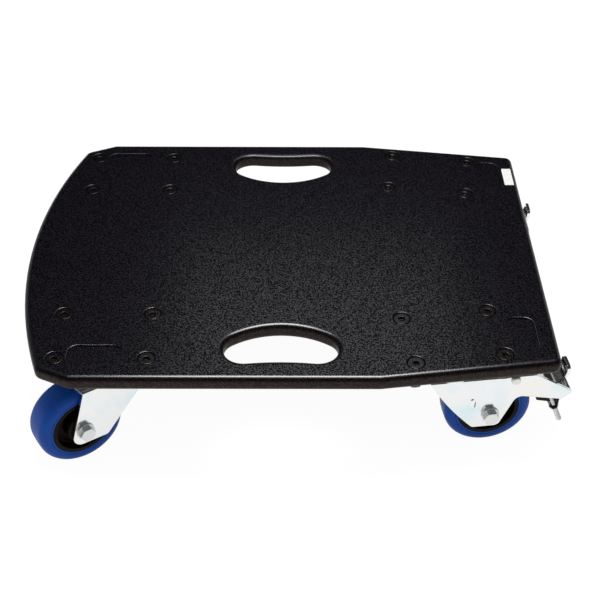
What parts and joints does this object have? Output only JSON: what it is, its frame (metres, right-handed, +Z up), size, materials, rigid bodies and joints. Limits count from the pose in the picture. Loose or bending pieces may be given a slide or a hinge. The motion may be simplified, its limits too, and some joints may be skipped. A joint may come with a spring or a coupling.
{
  "type": "caster board",
  "caption": "Flat painted plywood transport board with a curved nose, handle holes and shallow foot pockets, rolling on swivel castors with brake pedals at its straight end.",
  "frame": {"origin": "on the floor under the middle of the overall box", "axes": "+X towards the straight end with the brakes, +Y to the left of it, +Z up from the floor"},
  "size_m": [0.5115, 0.374, 0.1235],
  "materials": {
    "deck_paint": "black structured paint on plywood",
    "black_steel": "blackened steel",
    "zinc_plate": "bright zinc plate",
    "bearing_steel": "polished steel",
    "hub_plastic": "moulded black nylon",
    "tyre_rubber": "blue elastic solid rubber"
  },
  "bodies": {
    "deck": {"deck_board": "deck_paint", "deck_screws": "black_steel", "plate_nuts": "black_steel", "king_pins": "zinc_plate", "nose_right_top_plate": "zinc_plate", "nose_right_race_ring": "zinc_plate", "nose_left_top_plate": "zinc_plate", "nose_left_race_ring": "zinc_plate", "tail_right_top_plate": "zinc_plate", "tail_right_race_ring": "zinc_plate", "tail_left_top_plate": "zinc_plate", "tail_left_race_ring": "zinc_plate"},
    "nose_right_swivel": {"nose_right_fork": "zinc_plate", "nose_right_swivel_balls": "bearing_steel", "nose_right_axle_bolt": "zinc_plate", "nose_right_axle_nut": "zinc_plate", "nose_right_axle_sleeve": "zinc_plate"},
    "nose_right_wheel": {"nose_right_tyre": "tyre_rubber", "nose_right_hub": "hub_plastic", "nose_right_roller_bearing": "bearing_steel"},
    "nose_left_swivel": {"nose_left_fork": "zinc_plate", "nose_left_swivel_balls": "bearing_steel", "nose_left_axle_bolt": "zinc_plate", "nose_left_axle_nut": "zinc_plate", "nose_left_axle_sleeve": "zinc_plate"},
    "nose_left_wheel": {"nose_left_tyre": "tyre_rubber", "nose_left_hub": "hub_plastic", "nose_left_roller_bearing": "bearing_steel"},
    "tail_right_swivel": {"tail_right_fork": "zinc_plate", "tail_right_swivel_balls": "bearing_steel", "tail_right_axle_bolt": "zinc_plate", "tail_right_axle_nut": "zinc_plate", "tail_right_axle_sleeve": "zinc_plate", "tail_right_pedal_pin": "zinc_plate"},
    "tail_right_wheel": {"tail_right_tyre": "tyre_rubber", "tail_right_hub": "hub_plastic", "tail_right_roller_bearing": "bearing_steel"},
    "tail_right_pedal": {"tail_right_brake_pedal": "zinc_plate", "tail_right_brake_shoe": "black_steel", "tail_right_adjuster_screw": "zinc_plate", "tail_right_adjuster_nut": "black_steel"},
    "tail_left_swivel": {"tail_left_fork": "zinc_plate", "tail_left_swivel_balls": "bearing_steel", "tail_left_axle_bolt": "zinc_plate", "tail_left_axle_nut": "zinc_plate", "tail_left_axle_sleeve": "zinc_plate", "tail_left_pedal_pin": "zinc_plate"},
    "tail_left_wheel": {"tail_left_tyre": "tyre_rubber", "tail_left_hub": "hub_plastic", "tail_left_roller_bearing": "bearing_steel"},
    "tail_left_pedal": {"tail_left_brake_pedal": "zinc_plate", "tail_left_brake_shoe": "black_steel", "tail_left_adjuster_screw": "zinc_plate", "tail_left_adjuster_nut": "black_steel"}
  },
  "joints": [
    {"name": "nose_right_swivel_turn", "type": "hinge", "parent": "deck", "child": "nose_right_swivel", "pos_m": [-0.16929, -0.13, 0.1085], "axis": [0, 0, 1], "continuous": true},
    {"name": "nose_right_wheel_spin", "type": "hinge", "parent": "nose_right_swivel", "child": "nose_right_wheel", "pos_m": [-0.20091, -0.15015, 0.041], "axis": [0.5373, -0.8434, 0], "continuous": true},
    {"name": "nose_left_swivel_turn", "type": "hinge", "parent": "deck", "child": "nose_left_swivel", "pos_m": [-0.16929, 0.13, 0.1085], "axis": [0, 0, 1], "continuous": true},
    {"name": "nose_left_wheel_spin", "type": "hinge", "parent": "nose_left_swivel", "child": "nose_left_wheel", "pos_m": [-0.20091, 0.15015, 0.041], "axis": [-0.5373, -0.8434, 0], "continuous": true},
    {"name": "tail_right_swivel_turn", "type": "hinge", "parent": "deck", "child": "tail_right_swivel", "pos_m": [0.14071, -0.13, 0.1085], "axis": [0, 0, 1], "continuous": true},
    {"name": "tail_right_wheel_spin", "type": "hinge", "parent": "tail_right_swivel", "child": "tail_right_wheel", "pos_m": [0.17789, -0.1251, 0.041], "axis": [-0.1305, 0.9914, 0], "continuous": true},
    {"name": "tail_right_brake_pedal", "type": "hinge", "parent": "tail_right_swivel", "child": "tail_right_pedal", "pos_m": [0.19742, -0.12253, 0.0823], "axis": [-0.1305, 0.9914, 0], "range_deg": [0, 6]},
    {"name": "tail_left_swivel_turn", "type": "hinge", "parent": "deck", "child": "tail_left_swivel", "pos_m": [0.14071, 0.13, 0.1085], "axis": [0, 0, 1], "continuous": true},
    {"name": "tail_left_wheel_spin", "type": "hinge", "parent": "tail_left_swivel", "child": "tail_left_wheel", "pos_m": [0.17821, 0.13065, 0.041], "axis": [-0.0175, 0.9998, 0], "continuous": true},
    {"name": "tail_left_brake_pedal", "type": "hinge", "parent": "tail_left_swivel", "child": "tail_left_pedal", "pos_m": [0.1979, 0.131, 0.0823], "axis": [-0.0175, 0.9998, 0], "range_deg": [0, 6]}
  ]
}
